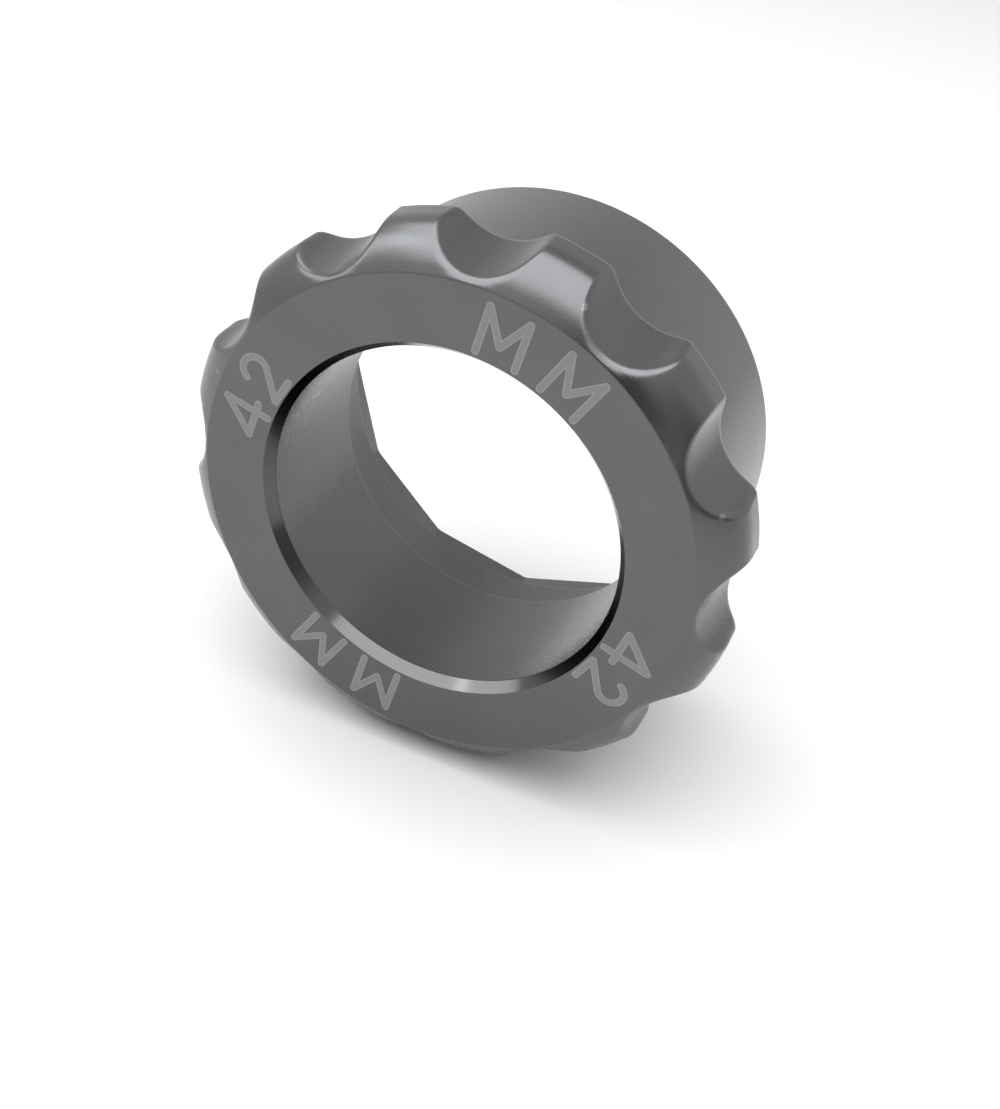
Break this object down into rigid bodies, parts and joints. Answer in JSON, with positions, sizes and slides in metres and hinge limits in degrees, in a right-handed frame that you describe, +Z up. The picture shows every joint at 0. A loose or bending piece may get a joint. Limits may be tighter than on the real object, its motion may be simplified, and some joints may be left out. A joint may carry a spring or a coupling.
{
  "type": "watch case opener die",
  "caption": "Ring-shaped watch case opening die: lobed finger grip, plain skirt, through bore and a polygonal socket that fits round a screw-down case back.",
  "frame": {"origin": "on the die's axis, halfway along its length, which is the centre of its bounding box", "axes": "+Y along the die's axis towards the socket, +Z up through the middle of one flute, +X to the right when the front face is looked at. As drawn the die lies on its side on two lobes"},
  "size_m": [0.054, 0.0266, 0.054],
  "materials": {
    "anodised_body": "bead-blasted, dark grey anodised, satin",
    "bright_chamfer": "turned after blasting, near-black anodised, glossy with fine turning marks",
    "laser_mark": "laser-marked lighter grey, matt"
  },
  "bodies": {
    "root": {"die_ring": "anodised_body"}
  },
  "joints": []
}
